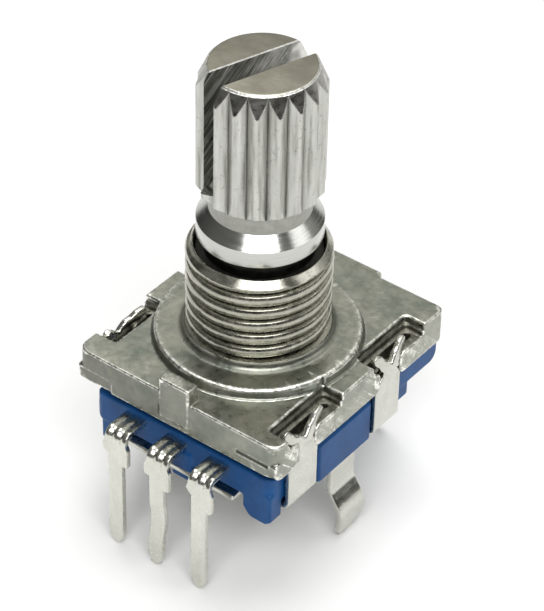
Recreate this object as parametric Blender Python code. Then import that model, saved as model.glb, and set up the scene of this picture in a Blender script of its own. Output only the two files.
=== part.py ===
"""Rotary encoder of the 11 mm class with a push switch, as an assembly of its separate pieces.

Lengths are in millimetres up to `add_mesh`, which turns them into metres. The origin is on the
shaft's axis at the underside of the mounting bracket. +Z runs up the shaft, and -Y is the side of
the three encoder terminals.
"""

import math

import bmesh
import bpy

MM = 0.001
GAP = 0.03  # kept between pieces that touch

# Levels, up from the bracket's underside
SHEET = 0.3  # thickness of the bracket and the terminals
PLATE_TOP = 4.5
PLATE_BOTTOM = PLATE_TOP - 1.85
PLATE_UNDERSIDE = 3.6  # roof of the recess in the casting
LIP_TOP = PLATE_TOP - 0.65
BOSS_TOP = PLATE_TOP + 0.5
LUG_TOP = PLATE_TOP + 0.85
BUSH_TOP = PLATE_TOP + 5.5
TRAVEL = 0.5  # how far the shaft is pushed in
COLLAR_BOTTOM = BUSH_TOP + TRAVEL + 0.07
SHAFT_TOP = PLATE_TOP + 15.2
SHAFT_END = 1.9
BASE_TOP = 1.57
HOUSING_BOTTOM = BASE_TOP + GAP
HOUSING_FLOOR = 1.95
BASE_FLOOR = 0.75
FOOT_BOTTOM = -0.55
TIP = -5.0  # ends of the terminals and legs

# Shaft
SHAFT_R = 2.97
NECK_R = 2.4
GROOVE_R = 2.0
DRIVE_FLAT = 1.9  # half the distance across the two flats
TEETH = 18
TOOTH_DEPTH = 0.38
KNURL_PHASE = math.radians(-7)
SLOT_WIDTH = 1.2
SLOT_ANGLE = math.radians(71)
SLOT_OFFSET = 0.1  # the slot's middle lies this far off the axis

# Bush and casting
BORE_R = 3.05
THREAD_R = 3.45
THREAD_ROOT_R = 3.05 + 0.12
PITCH = 0.75
BOSS_R = 4.95
PLATE_HALF = 5.9
PLATE_FRONT = -6.25
PLATE_REAR = 7.0
NOTCH_WALL = 4.7

# Straps, as (front edge, rear edge) along Y, and the slots in the casting that they pass
STRAPS = ((-5.1, -3.0), (1.57, 3.5))
NOTCHES = ((-5.3, -1.2), (1.25, 5.35))
SLOTS = ((-4.5, -3.2), (1.8, 3.5))

# Body
BODY_HALF = 5.5
CAVITY_R = 4.55
TERMINAL_PITCH = 2.5
TERMINAL_Y = -7.5
SWITCH_TERMINAL_Y = 7.0


def clear_scene():
    for thing in list(bpy.data.objects):
        bpy.data.objects.remove(thing)


def material(name, colour, roughness, metallic):
    made = bpy.data.materials.new(name)
    made.use_nodes = True
    shader = made.node_tree.nodes["Principled BSDF"]
    shader.inputs["Base Color"].default_value = (*colour, 1.0)
    shader.inputs["Roughness"].default_value = roughness
    shader.inputs["Metallic"].default_value = metallic
    return made


def add_mesh(name, points, faces, look=None):
    """An object with these points, in millimetres, and these faces turned outwards."""
    mesh = bpy.data.meshes.new(name)
    mesh.from_pydata([(x * MM, y * MM, z * MM) for x, y, z in points], [], faces)
    shape = bmesh.new()
    shape.from_mesh(mesh)
    bmesh.ops.recalc_face_normals(shape, faces=shape.faces)
    shape.to_mesh(mesh)
    shape.free()
    mesh.shade_smooth()
    mesh.set_sharp_from_angle(angle=math.radians(30))
    thing = bpy.data.objects.new(name, mesh)
    bpy.context.scene.collection.objects.link(thing)
    if look:
        mesh.materials.append(look)
    return thing


def circle(radius, segments, centre=(0.0, 0.0)):
    turns = [2 * math.pi * step / segments for step in range(segments)]
    return [(centre[0] + radius * math.cos(a), centre[1] + radius * math.sin(a)) for a in turns]


def arc(centre, radius, start, end, steps=4):
    """Points along an arc, with its angles in degrees."""
    angles = [math.radians(start + (end - start) * step / steps) for step in range(steps + 1)]
    return [(centre[0] + radius * math.cos(a), centre[1] + radius * math.sin(a)) for a in angles]


def rectangle(low, high, radius=0.0):
    """The outline of a rectangle between two opposite corners, with rounded corners."""
    if not radius:
        return [low, (high[0], low[1]), high, (low[0], high[1])]
    near, far = (low[0] + radius, low[1] + radius), (high[0] - radius, high[1] - radius)
    return (
        arc(near, radius, 180, 270)
        + arc((far[0], near[1]), radius, 270, 360)
        + arc(far, radius, 0, 90)
        + arc((near[0], far[1]), radius, 90, 180)
    )


def prism(name, outline, low, high, axis="Z", look=None):
    """The outline pushed from low to high along an axis: (x, y), (y, z) or (x, z) points."""
    place = {
        "Z": lambda point, level: (point[0], point[1], level),
        "X": lambda point, level: (level, point[0], point[1]),
        "Y": lambda point, level: (point[0], level, point[1]),
    }[axis]
    count = len(outline)
    points = [place(point, level) for level in (low, high) for point in outline]
    sides = [(i, (i + 1) % count, (i + 1) % count + count, i + count) for i in range(count)]
    caps = [tuple(range(count)), tuple(range(count, 2 * count))]
    return add_mesh(name, points, sides + caps, look)


def block(name, low, high, look=None):
    return prism(name, rectangle(low[:2], high[:2]), low[2], high[2], look=look)


def turned(name, profile_at, segments, look=None, ring=False, start=0.0):
    """A turned piece. `profile_at(angle)` gives its (radius, height) points from the top down the
    outside. A ring's profile closes on itself, and any other profile is capped at its two ends.
    """
    columns = []
    for step in range(segments):
        angle = start + 2 * math.pi * step / segments
        columns.append([(r * math.cos(angle), r * math.sin(angle), z) for r, z in profile_at(angle)])
    rows = len(columns[0])
    points = [point for column in columns for point in column]
    faces = []
    for step in range(segments):
        here = step * rows
        there = (step + 1) % segments * rows
        for row in range(rows if ring else rows - 1):
            after = (row + 1) % rows
            faces.append((here + row, here + after, there + after, there + row))
    if not ring:
        faces.append(tuple(step * rows for step in range(segments)))
        faces.append(tuple(step * rows + rows - 1 for step in range(segments)))
    return add_mesh(name, points, faces, look)


def strip(name, stations, thickness, across, look=None):
    """A bent strip of sheet. Each station is (path point, low edge, high edge): the path runs in
    the plane of `across` ("X": y, z and "Y": x, z), and the edges are places along that axis.
    """
    path = [station[0] for station in stations]
    points = []
    for i, (at, low, high) in enumerate(stations):
        before = path[max(i - 1, 0)]
        after = path[min(i + 1, len(path) - 1)]
        run, rise = after[0] - before[0], after[1] - before[1]
        length = math.hypot(run, rise)
        side = (-rise / length * thickness / 2, run / length * thickness / 2)
        for edge, sign in ((low, -1), (high, -1), (high, 1), (low, 1)):
            u, v = at[0] + sign * side[0], at[1] + sign * side[1]
            points.append((edge, u, v) if across == "X" else (u, edge, v))
    faces = [(0, 1, 2, 3)]
    for i in range(len(stations) - 1):
        for k in range(4):
            after = (k + 1) % 4
            faces.append((4 * i + k, 4 * i + after, 4 * i + 4 + after, 4 * i + 4 + k))
    last = 4 * len(stations) - 4
    faces.append((last, last + 1, last + 2, last + 3))
    return add_mesh(name, points, faces, look)


def apply_boolean(thing, tool, operation):
    """Joins the tool to the piece, or cuts it out, and keeps the tool hidden beside it."""
    modifier = thing.modifiers.new(tool.name, "BOOLEAN")
    modifier.operation = operation
    modifier.solver = "EXACT"
    modifier.object = tool
    tool.hide_render = True
    tool.display_type = "WIRE"
    tool.parent = thing


def join(thing, *tools):
    for tool in tools:
        apply_boolean(thing, tool, "UNION")


def cut(thing, *tools):
    for tool in tools:
        apply_boolean(thing, tool, "DIFFERENCE")


def polar_wave(angle, count):
    """A triangle wave from 0 to 1 with this many peaks in a turn."""
    phase = angle * count / (2 * math.pi) % 1.0
    return 1 - abs(2 * phase - 1)


def make_shaft(look, empty):
    knurl_bottom = PLATE_TOP + 8.4
    knurl_top = SHAFT_TOP - 1.0
    groove_bottom, groove_top = 3.27, 3.55

    def profile_at(angle):
        tooth = SHAFT_R - TOOTH_DEPTH * (1 - polar_wave(angle - KNURL_PHASE, TEETH))
        flat = min(NECK_R, DRIVE_FLAT / max(abs(math.cos(angle)), 1e-6))
        return [
            (2.45, SHAFT_TOP),
            (min(2.62, tooth), SHAFT_TOP - 0.12),
            (tooth, knurl_top),
            (tooth, knurl_bottom + 0.2),
            (NECK_R + 0.12, knurl_bottom),
            (NECK_R, knurl_bottom - 0.05),
            (NECK_R, COLLAR_BOTTOM + 1.46),
            (SHAFT_R, COLLAR_BOTTOM + 0.86),
            (SHAFT_R, COLLAR_BOTTOM),
            (SHAFT_R - 0.07, COLLAR_BOTTOM),
            (SHAFT_R - 0.07, BUSH_TOP),
            (SHAFT_R, BUSH_TOP - 0.1),
            (SHAFT_R, groove_top),
            (GROOVE_R, groove_top),
            (GROOVE_R, groove_bottom),
            (flat, groove_bottom),
            (flat, SHAFT_END + 0.1),
            (flat - 0.1, SHAFT_END),
        ]

    shaft = turned("shaft", profile_at, 4 * TEETH, look, start=KNURL_PHASE)
    slot = block(
        "shaft_slot_cutter",
        (-2 * SHAFT_R, SLOT_OFFSET - SLOT_WIDTH / 2, knurl_bottom + 0.4),
        (2 * SHAFT_R, SLOT_OFFSET + SLOT_WIDTH / 2, SHAFT_TOP + 1),
    )
    slot.rotation_euler.z = SLOT_ANGLE
    cut(shaft, slot)
    shaft.parent = empty
    return shaft


def thread_profile():
    """(radius, height) points down the grooved outside of the bush, from its top edge."""
    points = [(BORE_R + 0.16, BUSH_TOP), (THREAD_R, BUSH_TOP - 0.3)]
    first = PLATE_TOP + 4.82
    for turn in range(6):
        groove = first - turn * PITCH
        points += [
            (THREAD_R, groove + 0.3),
            (THREAD_ROOT_R, groove + 0.06),
            (THREAD_ROOT_R, groove - 0.06),
            (THREAD_R, groove - 0.3),
        ]
    points += [(THREAD_R + 0.05, PLATE_TOP + 0.7), (THREAD_R + 0.35, BOSS_TOP)]
    return points


def make_bushing_frame(look):
    plate_outline = rectangle((-PLATE_HALF, PLATE_FRONT), (PLATE_HALF, PLATE_REAR), 0.5)
    frame = prism("bushing_frame", plate_outline, PLATE_BOTTOM, PLATE_TOP, look=look)
    boss_and_bush = thread_profile() + [
        (BOSS_R - 0.08, BOSS_TOP),
        (BOSS_R, BOSS_TOP - 0.15),
        (BOSS_R + 0.05, PLATE_UNDERSIDE + 0.3),
    ]
    tab = block(
        "frame_rear_tab", (-2.0, PLATE_REAR - 1, PLATE_BOTTOM + 0.2), (2.0, PLATE_REAR + 0.35, PLATE_TOP - 0.1)
    )
    lug = block("frame_lug", (-0.88, PLATE_FRONT - 0.1, PLATE_BOTTOM + 0.4), (0.88, -5.6, LUG_TOP))
    join(frame, turned("frame_bush", lambda angle: boss_and_bush, 48), tab, lug)
    bore = prism("frame_bore_cutter", circle(BORE_R, 48), 0, BUSH_TOP + 1)
    recess = block("frame_recess_cutter", (-4.65, -5.15, 0), (4.65, 5.95, PLATE_UNDERSIDE))
    cut(frame, bore, recess)
    for side in (-1, 1):
        for end, (notch, slot) in enumerate(zip(NOTCHES, SLOTS)):
            inner, outer = sorted((side * NOTCH_WALL, side * 7))
            step_in, step_out = sorted((side * 5.0, side * 7))
            name = f"frame_notch_cutter_{'lr'[side > 0]}{end}"
            cut(
                frame,
                block(name, (inner, notch[0], LIP_TOP), (outer, notch[1], PLATE_TOP + 1)),
                block(name + "_slot", (step_in, slot[0], 0), (step_out, slot[1], LIP_TOP + 0.2)),
            )
    return frame


def make_retaining_ring(look, empty):
    """A C-ring in the shaft's groove, which bears on the underside of the bush."""
    low, high = 3.3, 3.52
    opening = 40
    outer = arc((0, 0), 3.5, opening, 360 - opening, 28)
    inner = arc((0, 0), GROOVE_R + 0.05, 360 - opening, opening, 28)
    ring = prism("retaining_ring", outer + inner, low, high, look=look)
    ring.parent = empty
    return ring


def make_click_spring(look):
    """A flat ring under the casting's roof, with two noses that drop between the detent teeth."""
    low, high = PLATE_UNDERSIDE - GAP - 0.15, PLATE_UNDERSIDE - GAP
    inner, outer, nose = 3.7, 4.5, 0.17

    def profile_at(angle):
        drop = nose * max(0.0, 1 - abs(math.sin(angle)) / 0.16)
        return [(outer, high), (outer, low - drop), (inner, low - drop), (inner, high)]

    return turned("click_spring", profile_at, 80, look, ring=True)


def make_rotor_hub(look, empty):
    """The moulded rotor: a web with the double-D drive hole, and a raised ring of 20 detent teeth."""
    web_bottom, web_top, teeth_top = 2.4, 2.7, 3.32
    ring_inner, ring_outer = 3.65, 4.45

    def profile_at(angle):
        level = teeth_top - 0.2 * (1 - polar_wave(angle, 20))
        return [
            (ring_outer, level),
            (ring_outer, web_bottom),
            (1.0, web_bottom),
            (1.0, web_top),
            (ring_inner, web_top),
            (ring_inner, level),
        ]

    hub = turned("rotor_hub", profile_at, 80, look, ring=True)
    reach = NECK_R + 0.05
    half = DRIVE_FLAT + 0.05
    swing = math.degrees(math.acos(half / reach))
    hole = arc((0, 0), reach, swing, 180 - swing, 12) + arc((0, 0), reach, 180 + swing, 360 - swing, 12)
    cut(hub, prism("rotor_hole_cutter", hole, 0, 5))
    hub.parent = empty
    return hub


def make_code_disc(look, empty):
    """The contact disc below the web, with 20 teeth that make and break the two channels."""
    low, high = 2.22, 2.37

    def profile_at(angle):
        outer = 4.3 if polar_wave(angle, 20) > 0.4 else 3.6
        return [(outer, high), (outer, low), (2.55, low), (2.55, high)]

    disc = turned("code_disc", profile_at, 80, look, ring=True)
    disc.parent = empty
    return disc


def make_contact_housing(look):
    """The upper half of the moulded body. The terminals lie in grooves in its underside."""
    top = PLATE_BOTTOM - GAP
    outline = rectangle((-BODY_HALF, -6.0), (BODY_HALF, 6.6), 0.2)
    housing = prism("contact_housing", outline, HOUSING_BOTTOM, top, look=look)
    side_block = rectangle((-5.7, -2.65), (5.7, 1.35))
    neck = rectangle((-4.6, -5.1), (4.6, 5.9))
    join(
        housing,
        prism("housing_side_block", side_block, HOUSING_BOTTOM, top),
        prism("housing_neck", neck, HOUSING_BOTTOM + 0.2, PLATE_UNDERSIDE - 2 * GAP),
    )
    cut(
        housing,
        prism("housing_cavity_cutter", circle(CAVITY_R, 48), HOUSING_FLOOR, 6),
        prism("housing_hole_cutter", circle(2.5, 32), 0, 6),
    )
    for column in (-1, 0, 1):
        x = column * TERMINAL_PITCH
        name = "housing_groove_cutter_" + "acb"[column + 1]
        cut(
            housing,
            block(name, (x - 0.53, -8, 0), (x + 0.53, -3.2, HOUSING_BOTTOM + 2 * GAP + 0.3)),
            block(name + "_well", (x - 0.45, -3.9, 0), (x + 0.45, -3.3, 3)),
        )
    return housing


def make_switch_base(look):
    """The lower half of the moulded body, with the dome's well, the feet and the rear block."""
    low = SHEET + GAP
    base = prism("switch_base", rectangle((-BODY_HALF, -6.0), (BODY_HALF, 4.1), 0.2), low, BASE_TOP, look=look)
    pieces = [
        block("base_rear_block", (-3.6, 3.5, low), (3.6, 6.4, BASE_TOP)),
        block("base_rear_foot", (-1.0, 5.2, FOOT_BOTTOM), (1.0, 6.3, 1.0)),
    ]
    for side in (-1, 1):
        inner, outer = sorted((side * 3.9, side * BODY_HALF))
        near, far = sorted((side * 5.05, side * 5.7))
        tag = "lr"[side > 0]
        pieces.append(block(f"base_foot_{tag}", (inner, -6.0, FOOT_BOTTOM), (outer, -5.2, 1.0)))
        pieces.append(block(f"base_side_block_{tag}", (near, -2.65, low), (far, 1.35, BASE_TOP)))
    join(base, *pieces)
    cut(base, prism("base_well_cutter", circle(2.5, 32), BASE_FLOOR, 3))
    groove = BASE_FLOOR - 2 * GAP - SHEET
    for side in (-1, 1):
        x = side * TERMINAL_PITCH
        reach = 0.3 if side < 0 else 1.2
        inner, outer = sorted((side * reach, x + side * 0.48))
        name = "base_groove_cutter_" + "de"[side > 0]
        row = -0.6 if side < 0 else 1.7
        cut(
            base,
            block(name, (x - 0.48, row, groove), (x + 0.48, 8, 3)),
            block(name + "_pad", (inner, row, groove), (outer, row + 1.2, 1.2)),
        )
    return base


def make_terminal(name, x, look):
    """A front terminal: a strip out of the body, bent down, with shoulders above its pin."""
    level = HOUSING_BOTTOM + GAP + SHEET / 2
    bend = 0.45
    start = -3.4
    stations = [((start, level), x - 0.5, x + 0.5)]
    for point in arc((TERMINAL_Y + bend, level - bend), bend, 90, 180):
        stations.append((point, x - 0.5, x + 0.5))
    for height, half in ((1.0, 0.5), (0.9, 0.8), (0.3, 0.8), (0.0, 0.425), (TIP + 0.5, 0.425), (TIP + 0.12, 0.3), (TIP, 0.1)):
        stations.append(((TERMINAL_Y, height), x - half, x + half))
    return strip(name, stations, SHEET, "X", look)


def make_brush(name, x, look):
    """A sprung wiper: its foot lies on the terminal, and its tip rises to the code disc."""
    thickness = 0.08
    foot = HOUSING_BOTTOM + 2 * GAP + SHEET + thickness / 2
    path = [(-3.8, foot), (-3.4, foot), (-2.85, 2.14), (-2.7, 2.1)]
    return strip(name, [(point, x - 0.3, x + 0.3) for point in path], thickness, "X", look)


def make_plunger(look, empty):
    profile = [(1.7, SHAFT_END - GAP), (1.7, 1.5), (2.2, 1.5), (2.2, 1.35), (1.2, 1.27)]
    plunger = turned("push_plunger", lambda angle: profile, 32, look)
    plunger.parent = empty
    return plunger


def make_snap_dome(look):
    """A shallow sprung cap, open below, that stands on its rim in the well."""
    rim, crown, thickness, outer = BASE_FLOOR + GAP, 1.22, 0.08, 2.1
    steps = 5

    def surface(lift, radius):
        points = []
        for step in range(steps + 1):
            share = step / steps
            height = rim + (crown - thickness - rim) * math.cos(share * math.pi / 2)
            points.append((0.05 + (radius - 0.05) * math.sin(share * math.pi / 2), height + lift))
        return points

    upper = surface(thickness, outer)
    lower = surface(0.0, outer - 0.1)
    profile = upper + lower[::-1]
    return turned("snap_dome", lambda angle: profile, 32, look, ring=True)


def make_switch_terminal(name, side, look):
    """A rear terminal with its contact pad in the floor of the well."""
    x = side * TERMINAL_PITCH
    level = BASE_FLOOR - GAP - SHEET / 2
    row = -0.6 if side < 0 else 1.7
    reach = 0.35 if side < 0 else 1.25
    bend = 0.45
    stations = [((row + 0.05, level), x - 0.45, x + 0.45)]
    for point in arc((SWITCH_TERMINAL_Y - bend, level - bend), bend, 90, 0):
        stations.append((point, x - 0.45, x + 0.45))
    for height, half in ((-0.2, 0.425), (TIP + 1.0, 0.425), (TIP + 0.7, 0.3), (TIP + 0.55, 0.1)):
        stations.append(((SWITCH_TERMINAL_Y, height), x - half, x + half))
    terminal = strip(name, stations, SHEET, "X", look)
    inner, outer = sorted((side * reach, side * (TERMINAL_PITCH - 0.3)))
    pad = block(name + "_pad", (inner, row + 0.05, level - SHEET / 2), (outer, row + 1.15, level + SHEET / 2))
    join(terminal, pad)
    return terminal


def make_bracket(look):
    """The stamped bracket: a bottom plate, four straps that end in split claws, and two legs."""
    outline = [
        (-3.4, -6.2), (3.4, -6.2), (3.4, -5.1), (4.9, -5.1), (4.9, 3.5), (3.4, 3.5),
        (3.4, 4.0), (-3.4, 4.0), (-3.4, 3.5), (-4.9, 3.5), (-4.9, -5.1), (-3.4, -5.1),
    ]
    bracket = prism("mounting_bracket", outline, 0, SHEET, look=look)
    middle = PLATE_HALF - SHEET / 2
    bend = 0.45 - SHEET / 2
    pieces = []
    for side in (-1, 1):
        tag = "lr"[side > 0]
        for end, (front, rear) in enumerate(STRAPS):
            centre = sum(SLOTS[end]) / 2
            name = f"bracket_strap_{tag}{end}"
            stations = [((side * 4.6, SHEET / 2), front, rear)]
            for x, z in arc((middle - bend, SHEET / 2 + bend), bend, -90, 0):
                stations.append(((side * x, z), front, rear))
            stations += [
                ((side * middle, PLATE_BOTTOM - 0.25), front, rear),
                ((side * middle, PLATE_BOTTOM - 0.1), centre - 0.5, centre + 0.5),
                ((side * middle, LIP_TOP + 0.1), centre - 0.5, centre + 0.5),
            ]
            pieces.append(strip(name, stations, SHEET, "Y"))
            for way in (-1, 1):
                finger = [
                    (centre + way * 0.12, LIP_TOP - 0.1), (centre + way * 0.48, LIP_TOP - 0.1),
                    (centre + way * 0.55, LIP_TOP + 0.1), (centre + way * 1.15, LIP_TOP + 0.4),
                    (centre + way * 1.0, LIP_TOP + 0.62), (centre + way * 0.3, LIP_TOP + 0.35),
                ]
                low, high = sorted((side * (middle - SHEET / 2 + 0.02), side * (middle + SHEET / 2 - 0.02)))
                pieces.append(prism(f"{name}_claw_{'fr'[way > 0]}", finger, low, high, axis="X"))
        leg_x = 5.25 - SHEET / 2
        leg = [(4.2, SHEET / 2)]
        leg += arc((leg_x - bend, SHEET / 2 - bend), bend, 90, 0)
        leg += [(leg_x, -0.5), (leg_x, -2.0), (leg_x, -2.2), (5.55, -2.85), (5.76, -3.4), (5.7, -4.2), (5.45, TIP)]
        halves = [0.95] * (len(leg) - 1) + [0.6]
        stations = [((side * x, z), -half, half) for (x, z), half in zip(leg, halves)]
        pieces.append(strip(f"bracket_leg_{tag}", stations, SHEET, "Y"))
    join(bracket, *pieces)
    return bracket


def joint_empty(name):
    empty = bpy.data.objects.new(name, None)
    bpy.context.scene.collection.objects.link(empty)
    return empty


def main():
    clear_scene()
    nickel = material("nickel_shaft", (0.72, 0.71, 0.69), 0.25, 1.0)
    zinc = material("zinc_casting", (0.52, 0.51, 0.47), 0.42, 1.0)
    tin = material("tinned_steel", (0.70, 0.69, 0.66), 0.28, 1.0)
    silver = material("silvered_terminal", (0.78, 0.77, 0.74), 0.3, 1.0)
    bronze = material("spring_bronze", (0.75, 0.55, 0.35), 0.3, 1.0)
    steel = material("spring_steel", (0.6, 0.6, 0.6), 0.3, 1.0)
    blue = material("blue_plastic", (0.02, 0.09, 0.28), 0.4, 0.0)
    black = material("black_plastic", (0.03, 0.03, 0.03), 0.45, 0.0)

    spin_axis = joint_empty("shaft_spin_axis")
    push_axis = joint_empty("plunger_push_axis")
    make_shaft(nickel, spin_axis)
    make_retaining_ring(steel, spin_axis)
    make_rotor_hub(black, spin_axis)
    make_code_disc(bronze, spin_axis)
    make_plunger(black, push_axis)
    make_bushing_frame(zinc)
    make_click_spring(steel)
    make_contact_housing(blue)
    make_switch_base(blue)
    make_snap_dome(steel)
    for column, letter in ((-1, "a"), (0, "c"), (1, "b")):
        make_terminal("terminal_" + letter, column * TERMINAL_PITCH, silver)
        make_brush("brush_" + letter, column * TERMINAL_PITCH, bronze)
    make_switch_terminal("switch_terminal_d", -1, silver)
    make_switch_terminal("switch_terminal_e", 1, silver)
    make_bracket(tin)


main()
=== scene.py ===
import math

import bmesh
import bpy
from mathutils import Matrix, Vector


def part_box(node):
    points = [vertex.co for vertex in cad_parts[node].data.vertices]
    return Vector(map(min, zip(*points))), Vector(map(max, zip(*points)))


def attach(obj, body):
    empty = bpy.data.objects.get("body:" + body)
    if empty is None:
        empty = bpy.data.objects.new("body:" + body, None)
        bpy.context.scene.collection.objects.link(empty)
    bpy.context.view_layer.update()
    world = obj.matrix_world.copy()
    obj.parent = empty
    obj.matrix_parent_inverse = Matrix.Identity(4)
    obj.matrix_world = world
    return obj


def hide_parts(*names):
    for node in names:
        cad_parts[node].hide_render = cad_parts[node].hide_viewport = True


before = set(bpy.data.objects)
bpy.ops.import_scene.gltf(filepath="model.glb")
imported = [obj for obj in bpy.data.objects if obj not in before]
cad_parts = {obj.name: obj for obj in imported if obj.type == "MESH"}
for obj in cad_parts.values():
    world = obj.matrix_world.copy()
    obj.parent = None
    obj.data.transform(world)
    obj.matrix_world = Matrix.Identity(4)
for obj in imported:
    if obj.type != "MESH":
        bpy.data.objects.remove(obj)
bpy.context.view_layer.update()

# Shapes are made in millimetres and scaled to metres when they are finished.
MM = 0.001


def corner(node, which):
    """A corner of a CAD node's box, in millimetres."""
    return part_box(node)[which] / MM


SHAFT_TOP = corner("shaft", 1).z
SHAFT_LOW = corner("shaft", 0).z
PLATE = SHAFT_TOP - 15.2  # top face of the casting's plate; most heights are given from it
BUSH_TOP = corner("bushing_frame", 1).z
HALF = corner("bushing_frame", 1).x
FRONT = corner("bushing_frame", 0).y + 0.1
REAR = corner("bushing_frame", 1).y - 0.35
TIP = corner("terminal_a", 0).z
PIN_Y = corner("terminal_a", 0).y + 0.15
PITCH_X = corner("terminal_b", 0).x + 0.8
SHEET = 0.3
BEND = 0.42  # radius of a terminal's bend, on its middle line
PIN_HALF = 0.425  # half a terminal pin's width
SHAFT_RADIUS = 2.97
NECK_RADIUS = 2.4
TEETH = 18
CREST_PHASE = math.radians(3)
KNURL_LOW = PLATE + 8.4
GROOVE_TOP, GROOVE_LOW = 3.55, 3.27  # the retaining ring's groove in the shaft
CONE_RIM = 2.51  # radius at which the cone on the teeth meets the end face
COLLAR_LOW = PLATE + 6.07
SLOT_ANGLE = math.radians(71)
SLOT_OFFSET = 0.1
SLOT_WIDTH = 1.2
SLOT_FLOOR = PLATE + 9.0
THREAD_PITCH = 0.75
THREAD_CREST = 3.46
BUSH_FOOT = PLATE + 0.88  # where the thread's relief groove turns into the fillet
CASTING_LOW = PLATE - 1.85
NOTCH_WALL = HALF - 1.2  # the claw notches reach in to here
NOTCH_FRONT = (-5.3, -1.2)
NOTCH_REAR = (1.25, 5.35)
STRAP_FRONT = (-4.42, -3.27)  # where the front strap's neck passes the casting
LEFT_SHIFT = 0.45  # the left side's front strap stands this much further back
BODY_HALF = 5.48
BODY_FRONT = -6.05
BODY_BASE = PLATE - 4.17
SHELF = PLATE - 2.3  # top of the lower, wider part of the blue body
BOARD = PLATE - 5.05  # the board's top face, on which the feet stand
CAMERA_SIDE = math.radians(-53)
AIM = (0, 0, 6)


# ---- mesh tools

def add_object(name, points, faces):
    """An object with these points, in millimetres, with its faces turned outwards."""
    mesh = bpy.data.meshes.new(name)
    mesh.from_pydata(points, [], faces)
    shape = bmesh.new()
    shape.from_mesh(mesh)
    bmesh.ops.recalc_face_normals(shape, faces=shape.faces)
    shape.to_mesh(mesh)
    shape.free()
    thing = bpy.data.objects.new(name, mesh)
    bpy.context.scene.collection.objects.link(thing)
    return thing


def arc(centre, radius, start, end, steps=6):
    """Points along an arc, between two angles in degrees."""
    angles = [math.radians(start + (end - start) * step / steps) for step in range(steps + 1)]
    return [(centre[0] + radius * math.cos(a), centre[1] + radius * math.sin(a)) for a in angles]


def rounded(low, high, radii):
    """A rectangle's outline with a radius for each corner, from the lower left one round."""
    a, b, c, d = radii if isinstance(radii, tuple) else (radii,) * 4
    return (
        arc((low[0] + a, low[1] + a), a, 180, 270)
        + arc((high[0] - b, low[1] + b), b, 270, 360)
        + arc((high[0] - c, high[1] - c), c, 0, 90)
        + arc((low[0] + d, high[1] - d), d, 90, 180)
    )


def prism(name, outline, low, high, axis="Z"):
    """An outline drawn out along an axis between two levels."""
    place = {
        "Z": lambda point, level: (point[0], point[1], level),
        "X": lambda point, level: (level, point[0], point[1]),
        "Y": lambda point, level: (point[0], level, point[1]),
    }[axis]
    count = len(outline)
    points = [place(point, level) for level in (low, high) for point in outline]
    sides = [(i, (i + 1) % count, (i + 1) % count + count, i + count) for i in range(count)]
    return add_object(name, points, sides + [tuple(range(count)), tuple(range(count, 2 * count))])


def block(name, low, high, radius=0.0):
    """A box between two corners, with its upright edges rounded."""
    outline = rounded(low[:2], high[:2], radius) if radius else [
        (low[0], low[1]), (high[0], low[1]), (high[0], high[1]), (low[0], high[1])
    ]
    return prism(name, outline, low[2], high[2])


def surface_of_turning(name, rows, radius_at, segments, start=0.0, ring=False):
    """A turned piece: `radius_at(angle, row)` gives the radius, and each row is a height."""
    points = []
    for row, height in enumerate(rows):
        for step in range(segments):
            angle = start + 2 * math.pi * step / segments
            radius = radius_at(angle, row)
            points.append((radius * math.cos(angle), radius * math.sin(angle), height))
    faces = []
    for row in range(len(rows) if ring else len(rows) - 1):
        here, there = row * segments, (row + 1) % len(rows) * segments
        for step in range(segments):
            after = (step + 1) % segments
            faces.append((here + step, here + after, there + after, there + step))
    if not ring:
        faces.append(tuple(range(segments)))
        faces.append(tuple(range((len(rows) - 1) * segments, len(rows) * segments)))
    return add_object(name, points, faces)


def boolean(thing, tools, operation):
    """Joins the tools to the piece or cuts them from it, and removes them."""
    for tool in tools:
        modifier = thing.modifiers.new(tool.name, "BOOLEAN")
        modifier.operation = operation
        modifier.solver = "EXACT"
        modifier.object = tool
    apply_modifiers(thing)
    for tool in tools:
        bpy.data.objects.remove(tool)


def apply_modifiers(thing):
    graph = bpy.context.evaluated_depsgraph_get()
    graph.update()
    mesh = bpy.data.meshes.new_from_object(thing.evaluated_get(graph))
    old = thing.data
    thing.modifiers.clear()
    thing.data = mesh
    bpy.data.meshes.remove(old)


def melt(thing, voxel, passes):
    """Fuses the piece into one skin and softens its edges, as casting and moulding do."""
    remesh = thing.modifiers.new("skin", "REMESH")
    remesh.mode = "VOXEL"
    remesh.voxel_size = voxel
    smooth = thing.modifiers.new("soften", "SMOOTH")
    smooth.factor = 0.5
    smooth.iterations = passes
    apply_modifiers(thing)


def merge(name, things):
    """One object from several, which may overlap: `melt` fuses them."""
    points, faces = [], []
    for thing in things:
        base = len(points)
        points += [tuple(v.co) for v in thing.data.vertices]
        faces += [tuple(base + v for v in face.vertices) for face in thing.data.polygons]
        bpy.data.objects.remove(thing)
    mesh = bpy.data.meshes.new(name)
    mesh.from_pydata(points, [], faces)
    made = bpy.data.objects.new(name, mesh)
    bpy.context.scene.collection.objects.link(made)
    return made


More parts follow.
